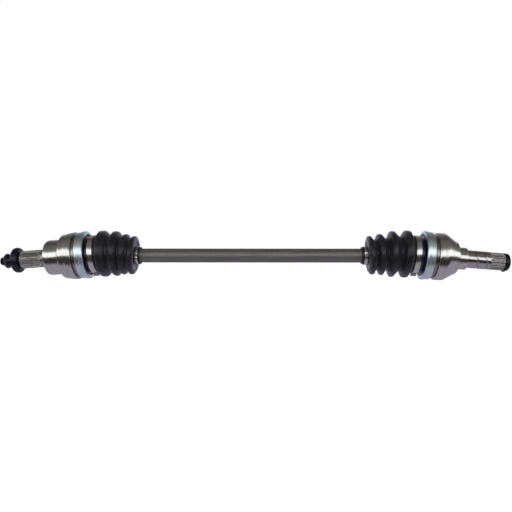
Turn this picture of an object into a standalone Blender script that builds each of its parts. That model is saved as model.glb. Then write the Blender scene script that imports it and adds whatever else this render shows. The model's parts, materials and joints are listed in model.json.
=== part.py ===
"""CV axle: a half-shaft with a fixed outer joint and a plunging inner joint.

The bar lies along X with its axis at z = 0.  The outer (wheel) joint is at the -X end and the
inner (gearbox) joint at the +X end.  Each cup hangs a few degrees below the bar's line.
Lengths in profiles are millimetres: (u, r) is distance outboard of the joint's centre along
its own axis, and radius from that axis.
"""

import math

import bmesh
import bpy
from mathutils import Matrix, Vector

MM = 0.001

# Driving dimensions, mm and degrees
OUTER_DROOP = 4.4
INNER_DROOP = 4.8
OUTER_CENTRE_X = -263.0
INNER_CENTRE_X = 257.5
BAR_R = 10.5
GAP = 0.3
BALL_COUNT = 6

OUTER_PITCH_R = 20.5
OUTER_BALL_R = 6.35
OUTER_CUP_SPHERE_R = 23.7
OUTER_CAGE_OUT_R = 23.2
OUTER_CAGE_IN_R = 18.0
OUTER_CAGE_HALF = 9.5
OUTER_RACE_R = 17.5
OUTER_RACE_HALF = 9.0
OUTER_MOUTH_R = 20.8
OUTER_CUP_TRACK_R = 7.45
OUTER_RACE_TRACK_R = 7.1
OUTER_BAR_END_R = 9.0

INNER_PITCH_R = 18.0
INNER_BALL_R = 5.55
INNER_BORE_R = 20.9
INNER_CAGE_OUT_R = 20.6
INNER_CAGE_IN_R = 15.9
INNER_CAGE_HALF = 8.2
INNER_RACE_R = 15.4
INNER_RACE_HALF = 8.0
INNER_CUP_TRACK_R = 6.1
INNER_RACE_TRACK_R = 6.2
INNER_TRACK_END = 17.5
INNER_BAR_END_R = 8.6

SPLINE_TEETH = 24
OUTER_SPLINE_TIP_R = 13.2
OUTER_SPLINE_ROOT_R = 12.0
INNER_SPLINE_TIP_R = 13.1
INNER_SPLINE_ROOT_R = 11.9
JOURNAL_R = 13.5
NUT_ACROSS_FLATS = 19.0
NUT_TURN = 30.0
BOOT_WALL = 1.6
SNAP_RING_SAG = 0.75

BODY_STEPS = 32
BAR_STEPS = 24
SMALL_STEPS = 24
BOOT_STEPS = 24

FINISHES = {
    "turned_steel": ((0.42, 0.41, 0.40), 1.0, 0.30),
    "bar_steel": ((0.28, 0.28, 0.27), 1.0, 0.45),
    "ground_steel": ((0.60, 0.60, 0.62), 1.0, 0.15),
    "zinc": ((0.55, 0.62, 0.66), 1.0, 0.35),
    "stainless": ((0.56, 0.53, 0.50), 1.0, 0.28),
    "black_oxide": ((0.03, 0.03, 0.045), 1.0, 0.40),
    "rubber": ((0.02, 0.02, 0.022), 0.0, 0.50),
}


def joint_frame(centre_x, side, droop):
    """Frame at a joint centre: local Z outboard, local X up, Y across."""
    angle = math.radians(droop)
    out = Vector((side * math.cos(angle), 0.0, -math.sin(angle)))
    up = Vector((side * math.sin(angle), 0.0, math.cos(angle)))
    across = out.cross(up)
    turn = Matrix((up, across, out)).transposed().to_4x4()
    return Matrix.Translation(Vector((centre_x * MM, 0.0, 0.0))) @ turn


OUTER_CUP = joint_frame(OUTER_CENTRE_X, -1, OUTER_DROOP)
OUTER_HALF = joint_frame(OUTER_CENTRE_X, -1, OUTER_DROOP / 2)
OUTER_BAR = joint_frame(OUTER_CENTRE_X, -1, 0.0)
INNER_CUP = joint_frame(INNER_CENTRE_X, 1, INNER_DROOP)
INNER_HALF = joint_frame(INNER_CENTRE_X, 1, INNER_DROOP / 2)
INNER_BAR = joint_frame(INNER_CENTRE_X, 1, 0.0)


def clear_scene():
    """Remove everything in the file."""
    for item in list(bpy.data.objects):
        bpy.data.objects.remove(item, do_unlink=True)


def new_collection(name):
    """Make a collection under the scene."""
    group = bpy.data.collections.new(name)
    bpy.context.scene.collection.children.link(group)
    return group


def new_material(name, finish):
    """Make one piece's own Principled material."""
    colour, metallic, roughness = FINISHES[finish]
    material = bpy.data.materials.new(name)
    material.use_nodes = True
    shader = material.node_tree.nodes["Principled BSDF"]
    shader.inputs["Base Color"].default_value = (*colour, 1.0)
    shader.inputs["Metallic"].default_value = metallic
    shader.inputs["Roughness"].default_value = roughness
    return material


def new_object(name, mesh, frame, group, finish=None):
    """Place a mesh in its frame and give it a material."""
    item = bpy.data.objects.new(name, mesh)
    item.matrix_world = frame
    group.objects.link(item)
    if finish:
        mesh.materials.append(new_material(name, finish))
    return item


def profile_mesh(name, points, closed):
    """Mesh of a chain of edges through (u, r) points, at local +X."""
    work = bmesh.new()
    corners = [work.verts.new((r * MM, 0.0, u * MM)) for u, r in points]
    pairs = list(zip(corners, corners[1:]))
    if closed:
        pairs.append((corners[-1], corners[0]))
    for first, second in pairs:
        work.edges.new((first, second))
    mesh = bpy.data.meshes.new(name)
    work.to_mesh(mesh)
    work.free()
    return mesh


def lathe(name, points, frame, group, finish=None, steps=BODY_STEPS, closed=False):
    """Turn a profile about the frame's Z; its outer side runs from high u to low u."""
    item = new_object(name, profile_mesh(name, points, closed), frame, group, finish)
    screw = item.modifiers.new("turn", "SCREW")
    screw.axis = "Z"
    screw.steps = steps
    screw.render_steps = steps
    screw.use_merge_vertices = True
    screw.merge_threshold = 0.00001
    screw.use_smooth_shade = True
    return item


def cut(item, cutter):
    """Cut one closed shape out of another."""
    step = item.modifiers.new("cut", "BOOLEAN")
    step.operation = "DIFFERENCE"
    step.solver = "EXACT"
    step.object = cutter


def join(item, other):
    """Fuse a hidden closed shape onto another."""
    step = item.modifiers.new("join", "BOOLEAN")
    step.operation = "UNION"
    step.solver = "EXACT"
    step.object = other


def hide_tool(item):
    """Keep a cutting or joining shape out of the finished part."""
    item.hide_render = True
    item.display_type = "WIRE"
    return item


def azimuth_turn(degrees):
    """Turn about the joint's own axis; 0 is up."""
    return Matrix.Rotation(math.radians(degrees), 4, "Z")


def arc(centre_u, radius, start, end, count):
    """Points (u, r) on a circle about (centre_u, 0); 0 degrees is radial, 90 is outboard."""
    points = []
    for i in range(count + 1):
        angle = math.radians(start + (end - start) * i / count)
        points.append((centre_u + radius * math.sin(angle), radius * math.cos(angle)))
    return points


def round_corner(centre, radius, start, end, count=3):
    """Points (u, r) of a corner fillet about a centre."""
    points = []
    for i in range(count + 1):
        angle = math.radians(start + (end - start) * i / count)
        points.append(
            (centre[0] + radius * math.sin(angle), centre[1] + radius * math.cos(angle))
        )
    return points


def ring_tracks(name, frame, pitch_r, tube_r, group):
    """Three full ring-shaped cutters through the joint centre: six curved ball tracks."""
    cutters = []
    for k in range(3):
        loop = [(u, r + pitch_r) for u, r in arc(0.0, tube_r, 360.0, 0.0, 10)[:-1]]
        # the ring's own axis lies across the joint's axis
        lay_over = Matrix.Rotation(math.radians(90.0), 4, "X")
        place = frame @ azimuth_turn(120.0 * k) @ lay_over
        ring = lathe(f"{name}_{k + 1}", loop, place, group, steps=32, closed=True)
        cutters.append(hide_tool(ring))
    return cutters


def straight_tracks(name, frame, pitch_r, tube_r, low, high, group):
    """Six straight ball tracks parallel to the joint's axis."""
    cutters = []
    for k in range(BALL_COUNT):
        offset = Matrix.Translation(Vector((pitch_r * MM, 0.0, 0.0)))
        place = frame @ azimuth_turn(60.0 * k) @ offset
        points = [(high, 0.0), (high, tube_r), (low, tube_r), (low, 0.0)]
        rod = lathe(f"{name}_{k + 1}", points, place, group, steps=14)
        cutters.append(hide_tool(rod))
    return cutters


def gear_prism(name, teeth, tip_r, root_r, low, high, frame, group):
    """Splined length: a ring of teeth extruded along the joint's axis."""
    work = bmesh.new()
    circle = bmesh.ops.create_circle(
        work, cap_ends=True, segments=teeth * 4, radius=root_r * MM
    )
    for vert in circle["verts"]:
        angle = math.atan2(vert.co.y, vert.co.x)
        phase = round(angle / (2 * math.pi / (teeth * 4))) % 4
        if phase in (0, 1):
            vert.co *= tip_r / root_r
        vert.co.z = low * MM
    grown = bmesh.ops.extrude_face_region(work, geom=work.faces[:])
    for vert in grown["geom"]:
        if isinstance(vert, bmesh.types.BMVert):
            vert.co.z = high * MM
    bmesh.ops.recalc_face_normals(work, faces=work.faces[:])
    mesh = bpy.data.meshes.new(name)
    work.to_mesh(mesh)
    work.free()
    return hide_tool(new_object(name, mesh, frame, group))


def box_cutter(name, size, place, group):
    """Closed box with sides given in mm."""
    work = bmesh.new()
    bmesh.ops.create_cube(work, size=1.0)
    for vert in work.verts:
        vert.co = Vector([c * s * MM for c, s in zip(vert.co, size)])
    mesh = bpy.data.meshes.new(name)
    work.to_mesh(mesh)
    work.free()
    return hide_tool(new_object(name, mesh, place, group))


def add_balls(prefix, frame, pitch_r, ball_r, group):
    """Six bearing balls, each its own piece, evenly round the joint."""
    for k in range(BALL_COUNT):
        work = bmesh.new()
        bmesh.ops.create_uvsphere(work, u_segments=12, v_segments=6, radius=ball_r * MM)
        for face in work.faces:
            face.smooth = True
        name = f"{prefix}_ball_{k + 1}"
        mesh = bpy.data.meshes.new(name)
        work.to_mesh(mesh)
        work.free()
        offset = Matrix.Translation(Vector((pitch_r * MM, 0.0, 0.0)))
        place = frame @ azimuth_turn(60.0 * k) @ offset
        new_object(name, mesh, place, group, "ground_steel")


def add_cage(name, frame, out_r, in_r, half, window, group, tools):
    """Ball cage: a band of a spherical shell with six windows."""
    reach_out = math.degrees(math.asin(half / out_r))
    reach_in = math.degrees(math.asin(half / in_r))
    outer = arc(0.0, out_r, reach_out, -reach_out, 4)
    inner = arc(0.0, in_r, -reach_in, reach_in, 4)
    cage = lathe(name, outer + inner, frame, group, "turned_steel", closed=True)
    mid_r = (out_r + in_r) / 2
    for k in range(BALL_COUNT):
        offset = Matrix.Translation(Vector((mid_r * MM, 0.0, 0.0)))
        place = frame @ azimuth_turn(60.0 * k) @ offset
        size = (out_r - in_r + 8.0, window[1], window[0])
        cut(cage, box_cutter(f"{name}_window_{k + 1}", size, place, tools))
    return cage


def add_outer_housing(group, tools):
    """Outer cup and stub axle in one forging: ball tracks, journals, spline, thread."""
    outside = [
        (118.8, 0.0),
        (118.8, 5.1),
        (118.0, 5.9),
        (88.0, 5.9),
        (87.8, OUTER_SPLINE_ROOT_R - 0.1),
        (55.4, OUTER_SPLINE_ROOT_R - 0.1),
        (55.2, 12.8),
        (49.4, 13.2),
        (49.4, 17.0),
    ]
    outside += round_corner((44.2, 20.9), 5.2, 82.0, 0.0)
    outside += [(24.9, 26.1), (24.8, 27.4), (24.1, 29.6), (22.8, 31.6), (20.5, 32.8)]
    outside += [
        (15.0, 33.5),
        (6.0, 35.1),
        (3.4, 35.0),
        (2.8, 31.8),
        (-1.0, 31.8),
        (-1.2, 33.2),
        (-9.3, 33.2),
        (-10.9, 31.5),
        (-14.0, 26.5),
        (-14.5, 25.3),
        (-28.0, 25.3),
        (-28.6, 24.6),
    ]
    inside = [(-28.6, 22.8), (-11.0, OUTER_MOUTH_R)]
    reach = math.degrees(math.asin(11.0 / OUTER_CUP_SPHERE_R))
    inside += arc(0.0, OUTER_CUP_SPHERE_R, -reach, 48.0, 6)[1:]
    inside += [(28.3, 15.2), (29.0, 14.0), (29.4, 0.0)]
    housing = lathe("outer_joint_housing", outside + inside, OUTER_CUP, group, "turned_steel")
    for ring in ring_tracks(
        "outer_cup_track", OUTER_CUP, OUTER_PITCH_R, OUTER_CUP_TRACK_R, tools
    ):
        cut(housing, ring)
    spline = gear_prism(
        "outer_spline_teeth", SPLINE_TEETH, OUTER_SPLINE_TIP_R, OUTER_SPLINE_ROOT_R - 0.2, 54.4,
        87.0, OUTER_CUP, tools,
    )
    join(housing, spline)


def add_inner_housing(group, tools):
    """Inner tulip cup and stub shaft: straight tracks, seal journal, spline."""
    outside = [
        (121.2, 0.0),
        (121.2, 8.6),
        (120.2, 11.6),
        (118.6, 13.0),
        (115.6, 13.1),
        (115.5, 10.2),
        (113.1, 10.2),
        (113.0, INNER_SPLINE_ROOT_R),
        (91.0, INNER_SPLINE_ROOT_R),
        (90.3, JOURNAL_R),
        (56.4, JOURNAL_R),
        (56.4, 16.0),
        (55.8, 16.6),
        (42.8, 16.6),
        (41.9, 18.4),
        (41.5, 23.6),
        (40.2, 24.8),
        (36.0, 26.8),
        (33.0, 28.6),
        (27.0, 32.5),
        (23.6, 34.6),
        (20.5, 35.4),
        (9.4, 35.3),
        (8.0, 34.4),
        (7.4, 31.8),
        (4.2, 31.8),
        (3.9, 33.2),
        (-6.8, 33.2),
        (-8.2, 31.5),
        (-11.0, 26.5),
        (-11.6, 25.3),
        (-26.2, 25.3),
        (-26.8, 24.6),
    ]
    inside = [
        (-26.8, 22.2),
        (-25.8, INNER_BORE_R),
        (-22.6, INNER_BORE_R),
        (-22.6, 22.7),
        (-19.4, 22.7),
        (-19.4, INNER_BORE_R),
        (22.0, INNER_BORE_R),
        (24.5, 11.0),
        (27.0, 0.0),
    ]
    housing = lathe("inner_joint_housing", outside + inside, INNER_CUP, group, "turned_steel")
    for rod in straight_tracks(
        "inner_cup_track", INNER_CUP, INNER_PITCH_R, INNER_CUP_TRACK_R, -30.0,
        INNER_TRACK_END, tools,
    ):
        cut(housing, rod)
    spline = gear_prism(
        "inner_spline_teeth", SPLINE_TEETH, INNER_SPLINE_TIP_R, INNER_SPLINE_ROOT_R - 0.1, 89.8,
        112.6, INNER_CUP, tools,
    )
    join(housing, spline)


def add_races(group, tools):
    """Inner races of both joints, each a grooved ball segment on the bar's end."""
    reach = math.degrees(math.asin(OUTER_RACE_HALF / OUTER_RACE_R))
    bore = OUTER_BAR_END_R + GAP
    points = arc(0.0, OUTER_RACE_R, reach, -reach, 5)
    points += [(-OUTER_RACE_HALF, bore), (OUTER_RACE_HALF, bore)]
    race = lathe("outer_inner_race", points, OUTER_BAR, group, "ground_steel", closed=True)
    for ring in ring_tracks(
        "outer_race_track", OUTER_BAR, OUTER_PITCH_R, OUTER_RACE_TRACK_R, tools
    ):
        cut(race, ring)
    reach = math.degrees(math.asin(INNER_RACE_HALF / INNER_RACE_R))
    bore = INNER_BAR_END_R + GAP
    points = arc(0.0, INNER_RACE_R, reach, -reach, 5)
    points += [(-INNER_RACE_HALF, bore), (INNER_RACE_HALF, bore)]
    race = lathe("inner_inner_race", points, INNER_BAR, group, "ground_steel", closed=True)
    for rod in straight_tracks(
        "inner_race_track", INNER_BAR, INNER_PITCH_R, INNER_RACE_TRACK_R, -12.0, 12.0, tools
    ):
        cut(race, rod)


def add_bar(group):
    """The solid bar with a circlip groove near each end."""
    length = INNER_CENTRE_X - OUTER_CENTRE_X

    def from_outer(u, r):
        return (length + u, r)

    points = [
        from_outer(13.0, 0.0),
        from_outer(13.0, 8.2),
        from_outer(12.2, OUTER_BAR_END_R),
        from_outer(11.2, OUTER_BAR_END_R),
        from_outer(11.2, 7.6),
        from_outer(9.2, 7.6),
        from_outer(9.2, OUTER_BAR_END_R),
        from_outer(-30.0, OUTER_BAR_END_R),
        from_outer(-40.0, BAR_R),
        (48.0, BAR_R),
        (43.0, INNER_BAR_END_R),
        (-8.2, INNER_BAR_END_R),
        (-8.2, 7.2),
        (-10.2, 7.2),
        (-10.2, INNER_BAR_END_R),
        (-12.2, INNER_BAR_END_R),
        (-13.0, 7.8),
        (-13.0, 0.0),
    ]
    # local Z runs from the inner joint to the outer one
    frame = joint_frame(INNER_CENTRE_X, -1, 0.0)
    lathe("axle_bar", points, frame, group, "bar_steel", steps=BAR_STEPS)


def split_ring(name, points, frame, gap_width, radius, group, tools, finish, steps=SMALL_STEPS):
    """A snap ring or circlip: a turned ring opened by a narrow slot at the top."""
    ring = lathe(name, points, frame, group, finish, steps=steps, closed=True)
    place = frame @ Matrix.Translation(Vector((radius * MM, 0.0, points[0][0] * MM)))
    cut(ring, box_cutter(f"{name}_slot", (12.0, gap_width, 12.0), place, tools))


def square_ring(high, low, out_r, in_r):
    """Closed profile of a rectangular ring, outer side first."""
    return [(high, out_r), (low, out_r), (low, in_r), (high, in_r)]


def chamfered_ring(high, low, out_r, in_r, edge):
    """Closed profile of a ring with its outer corners taken off."""
    return [
        (high, out_r - edge),
        (high - edge, out_r),
        (low + edge, out_r),
        (low, out_r - edge),
        (low, in_r),
        (high, in_r),
    ]


def add_snap_rings(group, tools):
    """Race circlips, cup retaining ring and stub snap ring."""
    split_ring(
        "outer_race_circlip", square_ring(10.9, 9.5, 11.6, 7.9), OUTER_BAR, 3.0, 10.0,
        group, tools, "black_oxide",
    )
    split_ring(
        "inner_race_circlip", square_ring(9.9, 8.5, 11.2, 7.5), INNER_BAR, 3.0, 9.5,
        group, tools, "black_oxide",
    )
    wire = [(u, r + 21.3) for u, r in arc(-21.0, 1.1, 360.0, 0.0, 6)[:-1]]
    split_ring(
        "inner_retaining_ring", wire, INNER_CUP, 6.0, 21.3, group, tools, "ground_steel"
    )
    sagged = INNER_CUP @ Matrix.Translation(Vector((-SNAP_RING_SAG * MM, 0.0, 0.0)))
    split_ring(
        "inner_stub_snap_ring", chamfered_ring(115.2, 113.4, 14.1, 11.1, 0.5), sagged, 3.0,
        12.5, group, tools, "black_oxide",
    )


def protector_ring(name, mouth_u, seat_u, lip_r, band_r, frame, group):
    """Pressed guard ring: a band on the cup, a wider lip, and a mouth folded inwards."""
    foot_r = 33.2 + GAP
    fold_r = lip_r - 5.0
    sheet = 1.0
    points = [
        (seat_u, 34.2),
        (seat_u - 1.2, band_r),
        (mouth_u + 6.0, band_r),
        (mouth_u + 4.6, lip_r),
        (mouth_u + 0.6, lip_r),
        (mouth_u, lip_r - 0.8),
        (mouth_u, fold_r),
        (mouth_u + sheet, fold_r),
        (mouth_u + sheet, foot_r),
        (seat_u, foot_r),
    ]
    lathe(name, points, frame, group, "zinc", closed=True)


def boot_outline(pleats, big, small, wall):
    """Closed (s, r) profile of a pleated boot; s is distance inboard of the joint centre."""
    outside = list(big)
    for top_s, top_r, flat, valley_s, valley_r in pleats:
        outside += [
            (top_s - flat * 0.7, top_r),
            (top_s + flat * 0.7, top_r),
        ]
        if valley_s:
            outside.append((valley_s, valley_r))
    outside += list(small)
    inside = []
    for i, (s, r) in enumerate(outside):
        before = outside[max(i - 1, 0)]
        after = outside[min(i + 1, len(outside) - 1)]
        along = Vector((after[0] - before[0], after[1] - before[1])).normalized()
        inside.append((s + along.y * wall, r - along.x * wall))
    return outside, inside


def boot_shape(start, end, rise, tilts):
    """Functions for the boot's sag: offset of its centre line, and tilt of each pleat."""
    slope = math.tan(math.radians(tilts[0][1]))
    span = end - start

    def offset(s):
        if s < start:
            return s * slope
        t = min((s - start) / span, 1.0)
        height = (2 * t**3 - 3 * t**2 + 1) * start * slope
        height += (t**3 - 2 * t**2 + t) * span * slope
        return height + rise * math.sin(math.pi * t) ** 2

    def tilt(s):
        if s <= tilts[0][0]:
            return tilts[0][1]
        for (low_s, low), (high_s, high) in zip(tilts, tilts[1:]):
            if s <= high_s:
                return low + (high - low) * (s - low_s) / (high_s - low_s)
        return tilts[-1][1]

    return offset, tilt


def add_boot(name, outline, sag, side, centre_x, group):
    """Turn a pleated boot, then lay each pleat along the sagging centre line."""
    outside, inside = outline
    loop = outside + inside[::-1]
    points = [(-s, r) for s, r in loop]
    frame = joint_frame(centre_x, side, 0.0)
    turned = lathe(f"{name}_turned", points, frame, group, steps=BOOT_STEPS, closed=True)
    bpy.context.view_layer.update()
    graph = bpy.context.evaluated_depsgraph_get()
    mesh = bpy.data.meshes.new_from_object(turned.evaluated_get(graph))
    mesh.name = name
    bpy.data.objects.remove(turned, do_unlink=True)
    offset, tilt = sag
    for vert in mesh.vertices:
        s = -vert.co.z / MM
        angle = math.radians(tilt(s))
        up = vert.co.x
        vert.co.x = up * math.cos(angle) + offset(s) * MM
        vert.co.z = -s * MM + up * math.sin(angle)
    new_object(name, mesh, frame, group, "rubber")


def add_boots(group):
    """Both pleated rubber boots; tilts are (s, degrees)."""
    outer = boot_outline(
        [
            (35.7, 34.6, 5.3, 46.3, 27.2),
            (54.3, 33.6, 3.6, 61.8, 26.8),
            (67.2, 30.5, 2.7, 73.6, 25.2),
            (79.2, 28.8, 2.8, None, None),
        ],
        [(17.6, 27.6), (28.4, 27.6)],
        [(82.2, 13.4), (83.0, 12.6), (90.8, 12.6)],
        BOOT_WALL,
    )
    tilts = ((20, OUTER_DROOP), (35.7, 3.7), (54.3, 0.9), (67.2, -3.3), (78.2, -4.9), (86, 0.0))
    sag = boot_shape(20.0, 83.0, 1.2, tilts)
    add_boot("outer_boot", outer, sag, -1, OUTER_CENTRE_X, group)
    inner = boot_outline(
        [
            (33.6, 35.4, 4.9, 42.8, 25.2),
            (54.9, 34.6, 3.8, 62.8, 22.6),
            (71.5, 31.2, 3.5, 78.8, 21.4),
            (85.9, 29.3, 3.3, None, None),
        ],
        [(15.2, 27.6), (26.0, 27.6)],
        [(90.0, 13.6), (90.8, 12.8), (99.8, 12.8)],
        BOOT_WALL,
    )
    tilts = ((18, INNER_DROOP), (33.4, 4.2), (54.9, 1.5), (71.5, -2.4), (85.3, -5.3), (93, 0.0))
    sag = boot_shape(18.0, 92.0, 0.9, tilts)
    add_boot("inner_boot", inner, sag, 1, INNER_CENTRE_X, group)


def add_clamps(group):
    """Four band clamps."""
    ends = (
        ("outer_boot_clamp_large", -18.6, -26.1, 28.8, 28.0, OUTER_CUP),
        ("inner_boot_clamp_large", -16.0, -23.6, 28.8, 28.0, INNER_CUP),
        ("outer_boot_clamp_small", -83.2, -88.0, 13.8, 13.0, OUTER_BAR),
        ("inner_boot_clamp_small", -91.0, -96.6, 14.0, 13.2, INNER_BAR),
    )
    for name, high, low, out_r, in_r, frame in ends:
        points = square_ring(high, low, out_r, in_r)
        steps = SMALL_STEPS if out_r < 20.0 else BODY_STEPS
        lathe(name, points, frame, group, "stainless", steps=steps, closed=True)


def add_hub_fasteners(group, tools):
    """Thick washer and hexagon nut on the outer stub."""
    washer = [
        (98.8, 15.6),
        (97.4, 17.9),
        (94.2, 18.9),
        (91.0, 18.5),
        (88.8, 15.9),
        (88.8, 13.7),
        (89.2, 13.3),
        (89.2, 6.6),
        (98.8, 6.6),
    ]
    lathe("hub_washer", washer, OUTER_CUP, group, "black_oxide", steps=28, closed=True)
    bore = 5.9 + GAP
    work = bmesh.new()
    radius = NUT_ACROSS_FLATS / 2 / math.cos(math.radians(30.0))
    circle = bmesh.ops.create_circle(work, cap_ends=True, segments=6, radius=radius * MM)
    for vert in circle["verts"]:
        vert.co.z = 107.0 * MM
    grown = bmesh.ops.extrude_face_region(work, geom=work.faces[:])
    for vert in grown["geom"]:
        if isinstance(vert, bmesh.types.BMVert):
            vert.co.z = 112.4 * MM
    bmesh.ops.recalc_face_normals(work, faces=work.faces[:])
    mesh = bpy.data.meshes.new("hub_nut")
    bmesh.ops.rotate(
        work, cent=(0.0, 0.0, 0.0), matrix=azimuth_turn(NUT_TURN).to_3x3(), verts=work.verts[:]
    )
    work.to_mesh(mesh)
    work.free()
    nut = new_object("hub_nut", mesh, OUTER_CUP, group, "black_oxide")
    collar = [
        (107.6, 0.0),
        (107.6, 9.2),
        (105.0, 8.7),
        (103.4, 8.6),
        (99.2, 11.0),
        (99.1, 0.0),
    ]
    skirt = lathe("hub_nut_collar", collar, OUTER_CUP, tools, steps=SMALL_STEPS)
    join(nut, hide_tool(skirt))
    hole = lathe(
        "hub_nut_bore", [(120.0, 0.0), (120.0, bore), (90.0, bore), (90.0, 0.0)], OUTER_CUP,
        tools, steps=SMALL_STEPS,
    )
    cut(nut, hide_tool(hole))
    crown = [(114.0, 8.6), (114.0, 13.0), (110.6, 13.0), (110.6, 11.1), (112.8, 8.9)]
    chamfer = lathe(
        "hub_nut_chamfer", crown, OUTER_CUP, tools, steps=SMALL_STEPS, closed=True
    )
    cut(nut, hide_tool(chamfer))


def build():
    """Make every piece of the axle."""
    clear_scene()
    group = new_collection("cv_axle")
    tools = new_collection("tools")
    add_bar(group)
    add_outer_housing(group, tools)
    add_inner_housing(group, tools)
    add_races(group, tools)
    add_cage(
        "outer_cage", OUTER_HALF, OUTER_CAGE_OUT_R, OUTER_CAGE_IN_R, OUTER_CAGE_HALF,
        (13.3, 14.2), group, tools,
    )
    add_cage(
        "inner_cage", INNER_HALF, INNER_CAGE_OUT_R, INNER_CAGE_IN_R, INNER_CAGE_HALF,
        (11.7, 12.4), group, tools,
    )
    add_balls("outer", OUTER_HALF, OUTER_PITCH_R, OUTER_BALL_R, group)
    add_balls("inner", INNER_HALF, INNER_PITCH_R, INNER_BALL_R, group)
    add_snap_rings(group, tools)
    protector_ring("outer_protector_ring", -13.9, -1.7, 35.5, 34.7, OUTER_CUP, group)
    protector_ring("inner_protector_ring", -9.8, 3.6, 36.2, 35.6, INNER_CUP, group)
    add_boots(group)
    add_clamps(group)
    add_hub_fasteners(group, tools)


build()
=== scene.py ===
"""Looks of the CV axle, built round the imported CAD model.

Lengths in profiles are millimetres: (u, r) is distance outboard of a joint's centre along its
own axis, and radius from that axis.  Azimuth 0 is up; 90 and 270 are the two sides.
"""

import json
import math

import bmesh
import bpy
import numpy as np
from mathutils import Matrix, Vector


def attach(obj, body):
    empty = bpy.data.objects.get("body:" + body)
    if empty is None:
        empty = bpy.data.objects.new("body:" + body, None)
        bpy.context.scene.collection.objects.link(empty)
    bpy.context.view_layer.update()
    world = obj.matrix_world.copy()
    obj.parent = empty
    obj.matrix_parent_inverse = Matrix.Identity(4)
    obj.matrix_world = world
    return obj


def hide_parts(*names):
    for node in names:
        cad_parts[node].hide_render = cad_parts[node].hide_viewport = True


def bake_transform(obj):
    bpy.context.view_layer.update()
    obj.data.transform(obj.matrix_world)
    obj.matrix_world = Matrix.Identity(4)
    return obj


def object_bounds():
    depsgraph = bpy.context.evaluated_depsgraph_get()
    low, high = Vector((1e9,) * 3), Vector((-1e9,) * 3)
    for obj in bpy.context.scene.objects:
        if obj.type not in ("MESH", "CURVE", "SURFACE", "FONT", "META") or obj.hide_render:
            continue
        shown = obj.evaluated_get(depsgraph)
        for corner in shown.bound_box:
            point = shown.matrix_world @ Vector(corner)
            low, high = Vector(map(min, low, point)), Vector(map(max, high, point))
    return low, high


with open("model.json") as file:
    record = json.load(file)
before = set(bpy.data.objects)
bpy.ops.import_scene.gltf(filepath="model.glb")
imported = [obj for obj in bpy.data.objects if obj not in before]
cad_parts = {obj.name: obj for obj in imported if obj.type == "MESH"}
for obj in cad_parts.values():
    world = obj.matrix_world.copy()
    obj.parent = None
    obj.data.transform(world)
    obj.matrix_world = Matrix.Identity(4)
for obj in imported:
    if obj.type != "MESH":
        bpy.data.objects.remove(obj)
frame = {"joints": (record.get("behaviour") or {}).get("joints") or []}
CAD_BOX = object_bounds()

MM = 0.001
JOINTS = {joint["name"]: joint for joint in frame["joints"]}
OUTER_CENTRE = Vector(JOINTS["outer_bend_vertical"]["pos_m"])
INNER_CENTRE = Vector(JOINTS["inner_bend_vertical"]["pos_m"])
OUTER_DROOP = math.asin(-JOINTS["outer_bend_horizontal"]["axis"][0])
INNER_DROOP = math.asin(-JOINTS["inner_plunge"]["axis"][2])

ROUND_STEPS = 128
SMOOTH_ANGLE = math.radians(28.0)
FLAT_TURN = math.radians(6.0)
FILLET_SHARE = 0.45
TINY = 1e-6

BALL_COUNT = 6
BALL_STEP = 360.0 / BALL_COUNT
OUTER_PITCH_R = 20.5
OUTER_BALL_R = 6.35
INNER_PITCH_R = 18.0
INNER_BALL_R = 5.55
INNER_TRACK_R = 6.1
SPLINE_TEETH = 24
JOURNAL_R = 13.5
BAR_R = 10.5
BOOT_WALL = 1.7


# ---------------------------------------------------------------- frames and mesh helpers


def joint_frame(centre, side, droop):
    """Frame at a joint centre: local Z outboard, local X up, local Y across."""
    out = Vector((side * math.cos(droop), 0.0, -math.sin(droop)))
    up = Vector((side * math.sin(droop), 0.0, math.cos(droop)))
    across = out.cross(up)
    turn = Matrix((up, across, out)).transposed().to_4x4()
    return Matrix.Translation(centre) @ turn


OUTER_CUP = joint_frame(OUTER_CENTRE, -1, OUTER_DROOP)
OUTER_HALF = joint_frame(OUTER_CENTRE, -1, OUTER_DROOP / 2)
OUTER_BAR = joint_frame(OUTER_CENTRE, -1, 0.0)
INNER_CUP = joint_frame(INNER_CENTRE, 1, INNER_DROOP)
INNER_HALF = joint_frame(INNER_CENTRE, 1, INNER_DROOP / 2)
INNER_BAR = joint_frame(INNER_CENTRE, 1, 0.0)


def arc(centre_u, radius, start, end, count, centre_r=0.0):
    """Points (u, r) on a circle; 0 degrees is radial and 90 is outboard."""
    points = []
    for i in range(count + 1):
        angle = math.radians(start + (end - start) * i / count)
        points.append(
            (centre_u + radius * math.sin(angle), centre_r + radius * math.cos(angle))
        )
    return points


def rounded(points, radius, steps=4, closed=False):
    """Take the corners off a profile with fillets of up to the given radius."""
    path = [Vector(point) for point in points]
    count = len(path)
    result = []
    for i, corner in enumerate(path):
        if not closed and i in (0, count - 1):
            result.append(corner)
            continue
        before = path[i - 1] - corner
        after = path[(i + 1) % count] - corner
        if before.length < TINY or after.length < TINY:
            continue
        turn = math.pi - before.angle(after)
        if turn < FLAT_TURN:
            result.append(corner)
            continue
        shorter = min(before.length, after.length)
        reach = min(radius * math.tan(turn / 2), shorter * FILLET_SHARE)
        first = corner + before.normalized() * reach
        last = corner + after.normalized() * reach
        for k in range(steps + 1):
            t = k / steps
            near = first.lerp(corner, t)
            far = corner.lerp(last, t)
            result.append(near.lerp(far, t))
    return [(point.x, point.y) for point in result]


def densified(points, longest):
    """Split long stretches of a profile so that nothing is longer than the given length."""
    result = [points[0]]
    for start, end in zip(points, points[1:]):
        length = math.dist(start, end)
        pieces = max(1, math.ceil(length / longest))
        for k in range(1, pieces + 1):
            t = k / pieces
            result.append(
                (start[0] + (end[0] - start[0]) * t, start[1] + (end[1] - start[1]) * t)
            )
    return result


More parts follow.
